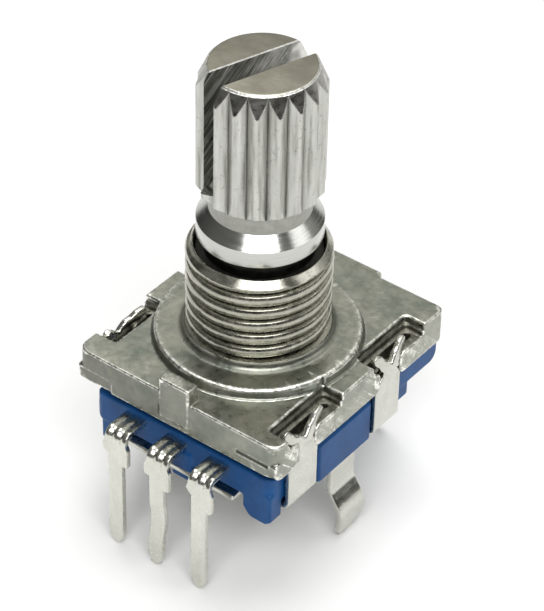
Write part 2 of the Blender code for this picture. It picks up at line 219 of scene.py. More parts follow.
def sheet(name, path, widths, thickness, sides, radius, columns, relief=None):
    """A strip of sheet metal swept along a path. Each width is (low, high) along the side vector,
    and `relief(share across, station)` sinks the front face.
    """
    points = []
    count = len(path)
    for i, at in enumerate(path):
        tangent = (Vector(path[min(i + 1, count - 1)]) - Vector(path[max(i - 1, 0)])).normalized()
        side = (sides[i] if isinstance(sides, list) else sides).normalized()
        front = side.cross(tangent).normalized()
        low, high = widths[i]
        half = thickness / 2
        section = []
        for column in range(columns + 1):
            share = column / columns
            sunk = relief(share, i) if relief else 0.0
            section.append((low + radius + (high - low - 2 * radius) * share, half - sunk))
        section += arc((high - radius, half - radius), radius, 60, 0, 2)
        section += arc((high - radius, radius - half), radius, 0, -90, 3)
        section += arc((low + radius, radius - half), radius, -90, -180, 3)
        section += arc((low + radius, half - radius), radius, 180, 120, 2)
        for across, out in section:
            points.append(tuple(Vector(at) + side * across + front * out))
    ring = len(points) // count
    faces = [tuple(range(ring)), tuple(range((count - 1) * ring, count * ring))]
    for i in range(count - 1):
        for k in range(ring):
            after = (k + 1) % ring
            faces.append((i * ring + k, i * ring + after, (i + 1) * ring + after, (i + 1) * ring + k))
    return add_object(name, points, faces)


def finish_piece(thing, looks, nodes, body="body", sharp=35):
    """Scales the piece to metres, shades it, gives it its materials and seats it on its body."""
    thing.data.transform(Matrix.Scale(MM, 4))
    thing.data.shade_smooth()
    thing.data.set_sharp_from_angle(angle=math.radians(sharp))
    for look in looks:
        thing.data.materials.append(look)
    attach(thing, body)
    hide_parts(*nodes)
    return thing


# ---- materials

class Tree:
    """A node tree and the coordinates that its patterns follow."""

    def __init__(self, tree, place):
        self.nodes, self.links = tree.nodes, tree.links
        self.place = self.nodes.new("ShaderNodeTexCoord").outputs[place]

    def vector_math(self, operation, second=None):
        """A calculation on the coordinates."""
        made = self.nodes.new("ShaderNodeVectorMath")
        made.operation = operation
        if second:
            made.inputs[1].default_value = second
        self.links.new(self.place, made.inputs[0])
        return made

    def noise(self, scale, detail, roughness, place=None):
        made = self.nodes.new("ShaderNodeTexNoise")
        made.inputs["Scale"].default_value = scale
        made.inputs["Detail"].default_value = detail
        made.inputs["Roughness"].default_value = roughness
        self.links.new(place or self.place, made.inputs["Vector"])
        return made.outputs["Fac"]

    def ramp(self, source, stops):
        """A colour, or a shade of grey, for each position of the source."""
        made = self.nodes.new("ShaderNodeValToRGB")
        elements = made.color_ramp.elements
        while len(elements) < len(stops):
            elements.new(0.5)
        for element, (at, colour) in zip(elements, stops):
            element.position = at
            element.color = (*colour, 1.0) if isinstance(colour, tuple) else (colour, colour, colour, 1.0)
        self.links.new(source, made.inputs["Fac"])
        return made.outputs["Color"]

    def spread(self, source, low, high):
        """From one colour or value to the other over the range that noise covers."""
        return self.ramp(source, ((0.3, low), (0.7, high)))

    def math(self, operation, first, second):
        made = self.nodes.new("ShaderNodeMath")
        made.operation = operation
        for socket, value in zip(made.inputs, (first, second)):
            if isinstance(value, (int, float)):
                socket.default_value = value
            else:
                self.links.new(value, socket)
        return made.outputs[0]

    def mix(self, factor, first, second, blend="MIX"):
        made = self.nodes.new("ShaderNodeMix")
        made.data_type = "RGBA"
        made.blend_type = blend
        for socket, value in ((made.inputs[0], factor), (made.inputs[6], first), (made.inputs[7], second)):
            if isinstance(value, (int, float)):
                socket.default_value = value
            elif isinstance(value, tuple):
                socket.default_value = (*value, 1.0)
            else:
                self.links.new(value, socket)
        return made.outputs[2]


class Look(Tree):
    """A material's node tree, with coordinates in millimetres."""

    def __init__(self, name, metallic):
        self.material = bpy.data.materials.new(name)
        self.material.use_nodes = True
        super().__init__(self.material.node_tree, "Object")
        self.shader = self.nodes["Principled BSDF"]
        self.shader.inputs["Metallic"].default_value = metallic
        scale = self.vector_math("SCALE")
        scale.inputs["Scale"].default_value = 1 / MM
        self.place = scale.outputs[0]

    def stretched(self, factors, turn=(0, 0, 0)):
        """Coordinates turned by these degrees and then scaled, so that a pattern runs along them."""
        mapping = self.nodes.new("ShaderNodeMapping")
        mapping.vector_type = "TEXTURE"
        mapping.inputs["Rotation"].default_value = [math.radians(a) for a in turn]
        mapping.inputs["Scale"].default_value = [1 / factor for factor in factors]
        self.links.new(self.place, mapping.inputs["Vector"])
        return mapping.outputs[0]

    def edges(self, low, high):
        """White along the piece's outer edges: a mask for painted highlights there."""
        geometry = self.nodes.new("ShaderNodeNewGeometry")
        return self.ramp(geometry.outputs["Pointiness"], ((low, 0.0), (high, 1.0)))

    def corner_shade_mask(self, low, high):
        """White in the piece's inner corners: a mask for painted shade there."""
        geometry = self.nodes.new("ShaderNodeNewGeometry")
        return self.ramp(geometry.outputs["Pointiness"], ((low, 1.0), (high, 0.0)))

    def between(self, value, low, high):
        """From 0 to 1 while the value goes from low to high."""
        made = self.nodes.new("ShaderNodeMapRange")
        made.inputs["From Min"].default_value = low
        made.inputs["From Max"].default_value = high
        self.links.new(value, made.inputs["Value"])
        return made.outputs["Result"]

    def from_axis(self, low, high):
        """From 0 to 1 between these two distances from the shaft's axis."""
        flat = self.vector_math("MULTIPLY", (1, 1, 0))
        length = self.vector_math("LENGTH")
        self.links.new(flat.outputs[0], length.inputs[0])
        return self.between(length.outputs["Value"], low, high)

    def along(self, direction, low, high):
        """From 0 to 1 between these two distances along a direction."""
        dot = self.vector_math("DOT_PRODUCT", direction)
        return self.between(dot.outputs["Value"], low, high)

    def colour(self, source):
        self.links.new(source, self.shader.inputs["Base Color"])

    def roughness(self, source):
        self.links.new(source, self.shader.inputs["Roughness"])

    def bump(self, height, depth):
        """Relief of this many millimetres."""
        made = self.nodes.new("ShaderNodeBump")
        made.inputs["Strength"].default_value = 1.0
        made.inputs["Distance"].default_value = depth * MM
        self.links.new(height, made.inputs["Height"])
        self.links.new(made.outputs[0], self.shader.inputs["Normal"])

    def grained(self, pattern, low, high, smooth, rough, depth):
        """The finished material, its colour, roughness and relief all following one pattern."""
        self.colour(self.spread(pattern, low, high))
        self.roughness(self.spread(pattern, smooth, rough))
        self.bump(pattern, depth)
        return self.material


def zinc_look(name, left, right):
    """Die-cast zinc, mottled, with painted highlights on its edges, painted shade in its inner corners, and
    painted light and shade from left to right.
    """
    look = Look(name, 1.0)
    mottle = look.noise(0.55, 5, 0.62)
    grain = look.noise(2.6, 5, 0.6)
    fine = look.noise(14, 3, 0.6)
    base = look.ramp(mottle, (
        (0.32, (0.25, 0.275, 0.235)), (0.48, (0.34, 0.35, 0.30)),
        (0.62, (0.42, 0.42, 0.36)), (0.75, (0.32, 0.345, 0.305)),
    ))
    # Painted light and shade: the colour scaled from left to right, brighter on the left.
    across = look.ramp(look.along((1, 0, 0), -5, 5), ((0.0, left), (1.0, right)))
    shaded = look.mix(1.0, base, across, "MULTIPLY")
    speckled = look.mix(0.25, shaded, look.ramp(grain, ((0.35, 0.35), (0.65, 0.66))), "OVERLAY")
    # Painted shade: near black in the inner corners.
    corner_shaded = look.mix(look.corner_shade_mask(0.41, 0.468), speckled, (0.06, 0.06, 0.05))
    # Painted highlights: pale beads along the outer edges.
    edges = look.edges(0.508, 0.53)
    highlight_beads = look.math("MULTIPLY", edges, look.ramp(look.noise(4, 3, 0.6), ((0.4, 0.15), (0.58, 1.0))))
    look.colour(look.mix(highlight_beads, corner_shaded, (0.93, 0.92, 0.86)))
    look.roughness(look.spread(grain, 0.24, 0.42))
    look.bump(look.math("ADD", look.math("MULTIPLY", grain, 0.8), look.math("MULTIPLY", fine, 0.05)), 0.03)
    return look.material


def notch_shade_look():
    """The casting inside the claw notches, painted darker as shade."""
    look = Look("zinc_notch_painted_shade", 1.0)
    grain = look.noise(4, 5, 0.62)
    # Painted shade: a dark zinc for the notches' shaded insides.
    look.colour(look.ramp(grain, (
        (0.3, (0.10, 0.098, 0.08)), (0.55, (0.22, 0.216, 0.18)), (0.75, (0.36, 0.355, 0.30)),
    )))
    look.roughness(look.spread(grain, 0.35, 0.5))
    look.bump(grain, 0.03)
    return look.material


def chamfer_look():
    """The turned chamfer on the bush's end."""
    look = Look("zinc_turned_chamfer", 1.0)
    rings = look.noise(1.3, 3, 0.55, look.stretched((1.0, 1.0, 2)))
    look.colour(look.ramp(rings, ((0.35, (0.30, 0.30, 0.25)), (0.62, (0.62, 0.61, 0.54)))))
    look.roughness(look.spread(rings, 0.2, 0.3))
    look.bump(rings, 0.02)
    return look.material


def thread_look():
    """The thread: painted shade in its groove, with painted highlights (glints) on its crests."""
    look = Look("zinc_thread", 1.0)
    grain = look.noise(2.6, 3, 0.55)
    base = look.ramp(grain, (
        (0.3, (0.34, 0.34, 0.285)), (0.5, (0.41, 0.405, 0.345)), (0.7, (0.50, 0.49, 0.42)),
    ))
    # Painted shade: near black deep in the groove.
    depth = look.ramp(look.from_axis(3.14, 3.40), ((0.0, 0.03), (0.4, 0.35), (0.65, 1.0)))
    groove_shaded = look.mix(1.0, base, depth, "MULTIPLY")
    # Painted highlights: pale glints along the crests.
    crests = look.edges(0.53, 0.60)
    glints = look.math("MULTIPLY", crests, look.ramp(look.noise(3.5, 3, 0.6), ((0.45, 0.0), (0.66, 0.7))))
    look.colour(look.mix(glints, groove_shaded, (0.95, 0.93, 0.82)))
    look.roughness(look.spread(grain, 0.18, 0.32))
    look.bump(grain, 0.01)
    return look.material


def nickel_side_look():
    """The knurl's teeth, streaked lengthways, with painted shade in the valleys."""
    look = Look("nickel_knurl", 1.0)
    streaks = look.noise(1.8, 5, 0.6, look.stretched((2.2, 2.2, 0.16)))
    specks = look.noise(4.5, 4, 0.62)
    base = look.ramp(streaks, (
        (0.34, (0.33, 0.33, 0.30)), (0.46, (0.50, 0.50, 0.47)), (0.66, (0.60, 0.60, 0.57)),
    ))
    spotted = look.mix(look.ramp(specks, ((0.60, 0.0), (0.70, 0.5))), base, (0.16, 0.155, 0.14))
    # Painted shade: darker towards the roots of the teeth.
    valley = look.ramp(look.from_axis(2.56, 2.86), ((0.0, 0.42), (0.2, 0.74), (0.5, 0.95), (1.0, 1.0)))
    look.colour(look.mix(1.0, spotted, valley, "MULTIPLY"))
    look.roughness(look.spread(streaks, 0.40, 0.26))
    look.bump(look.math("ADD", streaks, look.math("MULTIPLY", specks, 0.5)), 0.02)
    return look.material


def nickel_cone_look():
    look = Look("nickel_tooth_ends", 1.0)
    rings = look.noise(1.6, 4, 0.6, look.stretched((1.0, 1.0, 2)))
    return look.grained(rings, (0.25, 0.245, 0.225), (0.42, 0.415, 0.39), 0.22, 0.36, 0.01)


def nickel_face_look():
    """The shaft's end face, with faint turning marks and painted shade towards the right."""
    look = Look("nickel_end_face", 1.0)
    turning = look.noise(1.4, 5, 0.62, look.stretched((1.0, 2.4, 1.0), (0, 0, 12)))
    cloud = look.noise(0.9, 3, 0.5)
    base = look.spread(turning, (0.34, 0.32, 0.262), (0.42, 0.40, 0.335))
    # Painted light and shade: the right side darker.
    across = look.ramp(look.along((1, 0, 0), -1.5, 1.5), ((0.0, 1.0), (1.0, 0.78)))
    shaded = look.mix(1.0, base, across, "MULTIPLY")
    look.colour(look.mix(0.25, shaded, look.ramp(cloud, ((0.35, 0.38), (0.65, 0.66))), "OVERLAY"))
    look.roughness(look.spread(cloud, 0.3, 0.42))
    look.bump(turning, 0.006)
    return look.material


def slot_wall_look():
    """The slot's sawn walls: slanting scratches, paler towards the slot's open end."""
    look = Look("sawn_slot_wall", 1.0)
    scratches = look.noise(1.2, 4, 0.66, look.stretched((0.3, 0.5, 5.0), (0, -50, 71)))
    base = look.ramp(scratches, (
        (0.38, (0.16, 0.162, 0.145)), (0.54, (0.46, 0.46, 0.425)), (0.60, (0.98, 0.98, 0.95)),
    ))
    cloud = look.noise(0.9, 3, 0.5)
    pale = look.ramp(cloud, ((0.4, (0.30, 0.30, 0.28)), (0.6, (0.78, 0.775, 0.74))))
    open_end = look.along((math.cos(SLOT_ANGLE), math.sin(SLOT_ANGLE), 0), -0.2, 1.2)
    look.colour(look.mix(open_end, base, pale))
    look.roughness(look.spread(scratches, 0.46, 0.26))
    look.bump(scratches, 0.05)
    return look.material


def edge_highlight_look():
    """Narrow bevels painted with beaded highlights."""
    look = Look("edge_painted_highlight", 1.0)
    highlight_beads = look.noise(4.5, 3, 0.6)
    # Painted highlights: pale beads on the bevels.
    look.colour(look.ramp(highlight_beads, ((0.35, (0.50, 0.49, 0.44)), (0.55, (0.98, 0.97, 0.93)))))
    look.roughness(look.ramp(highlight_beads, ((0.35, 0.5), (0.6, 0.32))))
    look.bump(highlight_beads, 0.03)
    return look.material


def collar_look():
    look = Look("nickel_collar", 1.0)
    rings = look.noise(1.0, 4, 0.6, look.stretched((0.5, 0.5, 14)))
    return look.grained(rings, (0.50, 0.50, 0.475), (0.59, 0.59, 0.565), 0.15, 0.23, 0.004)


def neck_look():
    look = Look("nickel_neck", 1.0)
    cloud = look.noise(2.2, 4, 0.6)
    return look.grained(cloud, (0.29, 0.29, 0.265), (0.41, 0.41, 0.38), 0.34, 0.46, 0.012)


def gap_shade_look():
    """The shaft in the gap below its collar, painted near black as shade."""
    look = Look("shaft_gap_painted_shade", 1.0)
    cloud = look.noise(3.0, 3, 0.5)
    # Painted shade: near black, standing in for the gap's shadow.
    look.colour(look.spread(cloud, (0.035, 0.035, 0.03), (0.06, 0.06, 0.055)))
    look.roughness(look.spread(cloud, 0.4, 0.55))
    return look.material


def tin_look():
    look = Look("tin_plate", 1.0)
    cloud = look.noise(1.3, 4, 0.55)
    fine = look.noise(9, 4, 0.6)
    base = look.spread(cloud, (0.52, 0.52, 0.47), (0.62, 0.62, 0.57))
    textured = look.mix(0.2, base, look.ramp(fine, ((0.35, 0.38), (0.65, 0.62))), "OVERLAY")
    # Painted shade: near black in the inner corners.
    look.colour(look.mix(look.corner_shade_mask(0.38, 0.44), textured, (0.16, 0.155, 0.13)))
    look.roughness(look.spread(cloud, 0.18, 0.3))
    look.bump(look.math("ADD", fine, cloud), 0.006)
    return look.material


def terminal_look():
    look = Look("silvered_terminal", 1.0)
    cloud = look.noise(1.1, 4, 0.6, look.stretched((1.5, 1.0, 0.5)))
    fine = look.noise(8, 4, 0.6)
    base = look.spread(cloud, (0.60, 0.60, 0.54), (0.70, 0.70, 0.64))
    look.colour(look.mix(0.12, base, look.ramp(fine, ((0.35, 0.4), (0.65, 0.62))), "OVERLAY"))
    look.roughness(look.spread(fine, 0.2, 0.3))
    look.bump(look.math("ADD", fine, cloud), 0.003)
    return look.material


def blue_look():
    look = Look("blue_moulding", 0.0)
    look.shader.inputs["Specular IOR Level"].default_value = 0.2
    cloud = look.noise(0.8, 4, 0.6)
    texture = look.noise(20, 3, 0.6)
    base = look.spread(cloud, (0.006, 0.055, 0.185), (0.010, 0.085, 0.265))
    # Painted shade: deep blue in the inner corners.
    look.colour(look.mix(look.corner_shade_mask(0.43, 0.485), base, (0.002, 0.012, 0.05)))
    look.roughness(look.spread(texture, 0.3, 0.45))
    look.bump(look.math("ADD", texture, cloud), 0.006)
    return look.material


def inner_look(name, low, high, metallic, roughness, scale=6.0):
    """A plain fine-grained material for the pieces inside."""
    look = Look(name, metallic)
    grain = look.noise(scale, 4, 0.55)
    return look.grained(grain, low, high, roughness - 0.08, roughness + 0.08, 0.006)


# ---- shaft

def knurl_radius(angle, height):
    """The knurl's teeth, cut by the cone at the top and by the chamfer at the bottom."""
    tooth_depth, flank_share, root_depth, root_share = 0.38, 1.12, 0.02, 0.12
    cone_rise, chamfer_start, chamfer_slope = 1.0, 2.5, 1.3
    phase = (angle - CREST_PHASE) * TEETH / (2 * math.pi) % 1.0
    across = abs(2 * phase - 1)  # 1 on a crest, 0 in a valley
    tooth = SHAFT_RADIUS - tooth_depth * (1 - min(1.0, flank_share * across))
    tooth -= root_depth * max(0.0, 1 - across / root_share)
    cone = CONE_RIM + (SHAFT_RADIUS - CONE_RIM) * (SHAFT_TOP - height) / cone_rise
    bottom = chamfer_start + (height - KNURL_LOW) * chamfer_slope
    return max(NECK_RADIUS, min(tooth, cone, bottom))


def shaft_rows():
    """Heights and what the radius is there: a number, or None on the knurl."""
    rim = [(0.0, 2.40), (0.012, 2.45), (0.04, 2.49), (0.08, 2.515)]
    rows = [(SHAFT_TOP - down, radius) for down, radius in rim]
    cone_start, cone_length, cone_steps = SHAFT_TOP - 0.1, 1.02, 30
    rows += [(cone_start - cone_length * step / cone_steps, None) for step in range(cone_steps + 1)]
    rows += [(PLATE + height, None) for height in (12.5, 10.5, 9.2)]
    chamfer, chamfer_steps = 0.42, 8
    rows += [
        (KNURL_LOW + chamfer * (chamfer_steps - step) / chamfer_steps, None)
        for step in range(chamfer_steps + 1)
    ]
    rows += [(KNURL_LOW - 0.03, 2.42), (COLLAR_LOW + 1.5, NECK_RADIUS), (COLLAR_LOW + 1.46, 2.41)]
    collar = [(0.9, 2.93), (0.86, 2.965), (0.82, 2.97), (0.05, 2.97), (0.015, 2.955), (0, 2.92)]
    rows += [(COLLAR_LOW + up, radius) for up, radius in collar]
    relief = 2.62
    rows += [(COLLAR_LOW, relief), (PLATE + 5.2, relief), (PLATE + 5.1, SHAFT_RADIUS)]
    groove, stem = 2.0, 2.35  # the retaining ring's groove, and the stem that the rotor sits on
    rows += [(GROOVE_TOP, SHAFT_RADIUS), (GROOVE_TOP, groove), (GROOVE_LOW, groove)]
    rows += [(GROOVE_LOW, stem), (SHAFT_LOW + 0.1, stem), (SHAFT_LOW, 2.2)]
    return rows


def make_shaft(looks):
    """The turned shaft, with drive flats on its stem and a slot sawn across its end."""
    rows = shaft_rows()
    flat_half, round_below, steps_per_tooth = 1.9, 2.1, 24

    def radius_at(angle, row):
        height, radius = rows[row]
        if radius is None:
            return knurl_radius(angle, height)
        if height <= GROOVE_LOW and radius > round_below:
            return min(radius, flat_half / max(abs(math.cos(angle)), 1e-6))
        return radius

    heights = [height for height, _ in rows]
    shaft = surface_of_turning("shaft_turned", heights, radius_at, steps_per_tooth * TEETH, CREST_PHASE)
    bevel, half, reach = 0.05, SLOT_WIDTH / 2, 4
    mouth = half + 2 * bevel
    outline = [
        (-half, SLOT_FLOOR), (half, SLOT_FLOOR), (half, SHAFT_TOP - bevel),
        (mouth, SHAFT_TOP + bevel), (-mouth, SHAFT_TOP + bevel), (-half, SHAFT_TOP - bevel),
    ]
    outline = [(SLOT_OFFSET + x, z) for x, z in outline]
    slot = prism("slot_cutter", outline, -reach, reach, axis="X")
    slot.rotation_euler.z = SLOT_ANGLE
    boolean(shaft, [slot], "DIFFERENCE")
    paint_shaft(shaft)
    return finish_piece(shaft, looks, ["shaft"], body="shaft", sharp=28)


def paint_shaft(shaft):
    """Gives each face its material, in the order in which main() lists the shaft's looks."""
    knurl, end_face, slot_wall, collar, tooth_ends, neck, below_collar, rim_highlight = range(8)
    across = Vector((-math.sin(SLOT_ANGLE), math.cos(SLOT_ANGLE), 0))
    for face in shaft.data.polygons:
        height, up = face.center.z, face.normal.z
        facing = abs(face.normal.dot(across))
        from_slot = abs(face.center.dot(across) - SLOT_OFFSET) - SLOT_WIDTH / 2
        in_slot = from_slot < 0.02 and height > SLOT_FLOOR - 0.1
        on_bevel = in_slot or from_slot < 0.12
        near_top = height > SHAFT_TOP - 0.1
        if in_slot and not near_top and (facing > 0.95 or up > 0.9):
            face.material_index = slot_wall
        elif on_bevel and near_top and 0.2 < facing < 0.98:
            face.material_index = rim_highlight
        elif up > 0.95 and near_top:
            face.material_index = end_face
        elif near_top and up > 0.35:
            face.material_index = rim_highlight
        elif height > KNURL_LOW - 0.04:
            face.material_index = tooth_ends if up > 0.15 and height > SHAFT_TOP - 1.1 else knurl
        elif height > COLLAR_LOW + 1.43:
            face.material_index = neck
        elif height < COLLAR_LOW - 0.01:
            face.material_index = below_collar
        else:
            face.material_index = collar


# ---- casting

def thread_radius(angle, height):
    """Right-handed M7 thread with a soft crest, a chamfer above it and a relief groove below."""
    depth, crown, wall = 0.36, 0.09, 0.32
    groove = PLATE + 4.82 + THREAD_PITCH * (angle - CAMERA_SIDE) / (2 * math.pi)
    phase = (height - groove) / THREAD_PITCH
    away = abs(phase - round(phase)) * 2  # 0 in the groove, 1 on the crest
    if away < wall:
        helix = THREAD_CREST - crown - (depth - crown) * (1 - away / wall)
    else:
        helix = THREAD_CREST - crown * ((1 - away) / (1 - wall)) ** 2
    chamfer_start, chamfer_slope = 3.14, 0.92
    chamfer = chamfer_start + (BUSH_TOP - height) * chamfer_slope
    relief_radius, relief_middle, relief_half = 3.12, PLATE + 1.04, 0.14
    from_relief = min(1.0, abs(height - relief_middle) / relief_half)
    relief = relief_radius + (THREAD_CREST - relief_radius) * from_relief
    return min(helix if height > PLATE + 1.05 else THREAD_CREST, chamfer, relief)


def make_bush(looks):
    """The threaded bush with its bore, open at both ends, and the boss disc that it stands on."""
    low, bore, boss_foot, steps = PLATE - 0.5, 3.05, 5.18, 250
    rows = [(BUSH_TOP, 3.12)]
    rows += [(BUSH_TOP - (BUSH_TOP - BUSH_FOOT) * step / steps, None) for step in range(steps + 1)]
    turns = [0.2 + 0.25 * step for step in range(6)]
    rows += [(PLATE + 0.9 - 0.4 * math.sin(turn), 3.9 - 0.42 * math.cos(turn)) for turn in turns]
    boss = [
        (0.5, 4.05), (0.498, 4.7), (0.49, 4.84), (0.455, 4.895), (0.4, 4.93), (0.3, 4.945),
        (0.15, 4.965), (0.06, 5.0), (0.02, 5.06), (-0.02, boss_foot),
    ]
    rows += [(PLATE + up, radius) for up, radius in boss]
    rows += [(low, boss_foot), (low, bore), (BUSH_TOP - 0.08, bore)]

    def radius_at(angle, row):
        height, radius = rows[row]
        return thread_radius(angle, height) if radius is None else radius

    bush = surface_of_turning("bush_thread", [height for height, _ in rows], radius_at, 240, ring=True)
    cutters = []
    below, above = PLATE - 1, PLATE + 0.8
    for side in (-1, 1):
        near, far = sorted((side * NOTCH_WALL, side * (HALF + 1)))
        cutters.append(block(f"boss_cutter_{side}", (near, -4, below), (far, NOTCH_FRONT[1], above)))
        cutters.append(block(f"boss_cutter_rear_{side}", (near, NOTCH_REAR[0], below), (far, 4, above)))
    boolean(bush, cutters, "DIFFERENCE")
    boss_disc, chamfer = 1, 2
    for face in bush.data.polygons:
        if face.center.z < BUSH_FOOT - 0.04:
            face.material_index = boss_disc
        elif face.center.z > BUSH_TOP - 0.35 and face.normal.z > 0.3:
            face.material_index = chamfer
    return finish_piece(bush, looks, ["bushing_frame"], sharp=50)


def notch_cutters(side, notch, slot):
    """Cutters for one claw notch: a wide mouth, a ledge at the parting line, a pocket below it, and
    the slot that the strap comes up through.
    """
    mouth_low, lip_low = PLATE - 0.4, PLATE - 0.65
    ledge, corner_radius, inset = 0.13, 0.22, 0.35
    pocket_low, pocket_top, pocket_radius = PLATE - 1.3, PLATE - 0.5, 0.15
    front, rear = notch

    def box_of(name, inner, near, far, low, high, radius, outer=HALF + 1):
        left, right = sorted((side * inner, side * outer))
        return block(name, (left, near, low), (right, far, high), radius)

    return [
        box_of("mouth", NOTCH_WALL, front, rear, mouth_low, PLATE + 0.3, corner_radius),
        box_of("ledge", NOTCH_WALL + ledge, front + ledge, rear - ledge, lip_low, PLATE, corner_radius),
        box_of("strap_slot", HALF - 0.6, slot[0], slot[1], PLATE - 3, pocket_top, 0.0),
        box_of(
            "pocket", NOTCH_WALL + inset, front + inset, rear - inset,
            pocket_low, pocket_top, pocket_radius, outer=HALF - 0.5,
        ),
    ]


def lip_fingers():
    """The casting's lips beside each strap, between which it comes up."""
    fingers = []
    outer, inner = 0.34, 0.42
    for side in (-1, 1):
        shift = LEFT_SHIFT if side < 0 else 0.0
        near, far = sorted((side * (HALF - 0.62), side * HALF))
        low_lip, high_lip = PLATE - 1.83, PLATE - 0.62
        for start, end, radii in (
            (STRAP_FRONT[1] + shift, -1.8, (outer, 0.0, 0.0, inner)),
            (3.42, 4.4, (outer, 0.0, 0.0, inner)),
            (1.0, 1.82, (0.0, 0.3, 0.36, 0.0)),
        ):
            outline = rounded((start, low_lip), (end, high_lip), radii)
            fingers.append(prism("lip", outline, near, far, axis="X"))
    return fingers


def make_casting(looks):
    """The zinc casting's plate, with its lug, rear tab, corner feet, claw notches and lips."""
    low = CASTING_LOW
    plate = prism("frame_casting", rounded((-HALF, FRONT), (HALF, REAR), (0.6, 0.6, 0.4, 0.4)), low, PLATE)
    foot_outline = rounded((FRONT, low - 0.14), (-4.4, PLATE - 1.0), (0.5, 0.7, 0.2, 0.2))
    corners = [
        prism(f"corner_{side}", foot_outline, *sorted((side * (HALF - 1.3), side * HALF)), axis="X")
        for side in (-1, 1)
    ]
    tab = block("rear_tab", (-2.0, REAR - 1, low + 0.15), (2.0, REAR + 0.34, PLATE - 0.02), 0.2)
    lug = block("lug", (-0.88, FRONT - 0.1, PLATE - 1.45), (0.88, -5.6, PLATE + 0.85), 0.06)
    boolean(plate, corners + [tab, lug], "UNION")
    rim, bore = 1.0, 3.5
    cutters = [
        block("recess", (-HALF + rim, FRONT + rim, 0), (HALF - rim, REAR - rim, PLATE - 0.9)),
        block("front_step_left", (-HALF - 1, FRONT - 1, 0), (-3.86, FRONT + 0.09, PLATE - 1.12)),
        block("front_groove_right", (3.55, FRONT - 1, PLATE - 1.28), (5.46, FRONT + 0.12, PLATE - 1.1)),
        surface_of_turning("bore", [PLATE + 2, 0.0], lambda angle, row: bore, 96),
    ]
    for side, shift in ((1, 0.0), (-1, LEFT_SHIFT)):
        notch = (NOTCH_FRONT[0] + shift, NOTCH_FRONT[1])
        cutters += notch_cutters(side, notch, (STRAP_FRONT[0] + shift, -2.9 + shift))
    for side in (-1, 1):
        cutters += notch_cutters(side, NOTCH_REAR, (1.45, 3.85))
    for number, cutter in enumerate(cutters):
        cutter.name = f"cutter_{number}"
    boolean(plate, cutters, "DIFFERENCE")
    plate = merge("frame_casting_skin", [plate] + lip_fingers())
    plate.name = "frame_casting"
    melt(plate, 0.06, 6)
    finished = finish_piece(plate, looks, ["bushing_frame"], sharp=60)
    paint_casting(finished)


def paint_casting(casting):
    """Marks the insides of the notches and the front face, which get darker looks as painted shade."""
    notch_shade_index, front_shade_index = 1, 2
    past = 0.1
    for face in casting.data.polygons:
        place = face.center / MM
        below_mouth = PLATE - 1.5 < place.z < PLATE - 0.3 and NOTCH_WALL - past < abs(place.x) < HALF - 0.12
        in_front_notch = NOTCH_FRONT[0] - past < place.y < NOTCH_FRONT[1] + past
        in_rear_notch = NOTCH_REAR[0] - past < place.y < NOTCH_REAR[1] + past
        if below_mouth and (in_front_notch or in_rear_notch):
            face.material_index = notch_shade_index
        # Painted shade: faces turned to the front get the darker copy of the zinc.
        elif face.normal.y < -0.6:
            face.material_index = front_shade_index


# ---- moulded body

def make_body(look):
    """Both blue mouldings, whose joint is hidden behind the bracket and the terminals."""
    base = BODY_BASE
    neck_low, neck_top = PLATE - 2.6, PLATE - 1.6
    outline = rounded((-4.95, BODY_FRONT), (BODY_HALF, 4.1), (0.35, 0.5, 0.4, 0.4))
    flange = rounded((3.4, PLATE - 3.2), (6.92, PLATE - 1.75), (0.3, 0.5, 0.4, 0.1))
    parts = [
        prism("moulded_body", outline, base + 0.3, SHELF),
        block("left_side", (-BODY_HALF, -4.3, base + 0.3), (0, 4.1, SHELF), 0.2),
        block("floor", (-5.2, -5.7, base), (5.2, 4.0, base + 1), 0.2),
        block("neck", (-5.25, -4.8, neck_low), (5.25, 6.2, neck_top), 0.3),
        block("front_neck", (-4.45, -5.75, neck_low), (5.2, -4.5, neck_top), 0.3),
        prism("rear_flange", flange, -5.6, 5.6, axis="X"),
        block("rear_step", (-BODY_HALF, 3.6, base + 0.05), (BODY_HALF, 4.98, SHELF), 0.35),
        block("rear_block", (-3.6, 3.5, base), (3.6, 6.4, PLATE - 2.5), 0.2),
        block("rear_foot", (-1.0, 5.2, BOARD), (1.0, 6.3, base + 0.2), 0.15),
        block("peg", (-0.3, -6.16, PLATE - 4.8), (0.9, -5.5, base + 1), 0.12),
    ]
    foot = [
        (3.85, base + 0.9), (3.85, PLATE - 4.55), (4.15, PLATE - 4.95), (4.35, BOARD),
        (5.2, BOARD), (BODY_HALF, PLATE - 4.8), (BODY_HALF, base + 0.9),
    ]
    parts.append(prism("foot_right", foot, BODY_FRONT, -5.2, axis="Y"))
    parts.append(block("foot_left", (-4.7, -6.0, BOARD), (-3.9, -5.2, base + 0.9), 0.1))
    inner = 4.5
    for side in (-1, 1):
        near, far = sorted((side * inner, side * 5.7))
        parts.append(
            block(f"side_block_{side}", (near, -2.65, PLATE - 4.6), (far, 1.53, PLATE - 2.36), 0.18)
        )
        near, far = sorted((side * inner, side * 5.56))
        parts.append(block(f"side_neck_{side}", (near, -2.6, neck_low), (far, 1.5, PLATE - 1.7), 0.12))
    body = merge("moulded_body_union", parts)
    melt(body, 0.06, 4)
    body.name = "moulded_body"
    well_floor, well_radius = 0.72, 4.65
    well = surface_of_turning("rotor_well", [PLATE, well_floor], lambda angle, row: well_radius, 96)
    boolean(body, [well], "DIFFERENCE")
    return finish_piece(body, [look], ["contact_housing", "switch_base"], sharp=60)


# ---- bracket

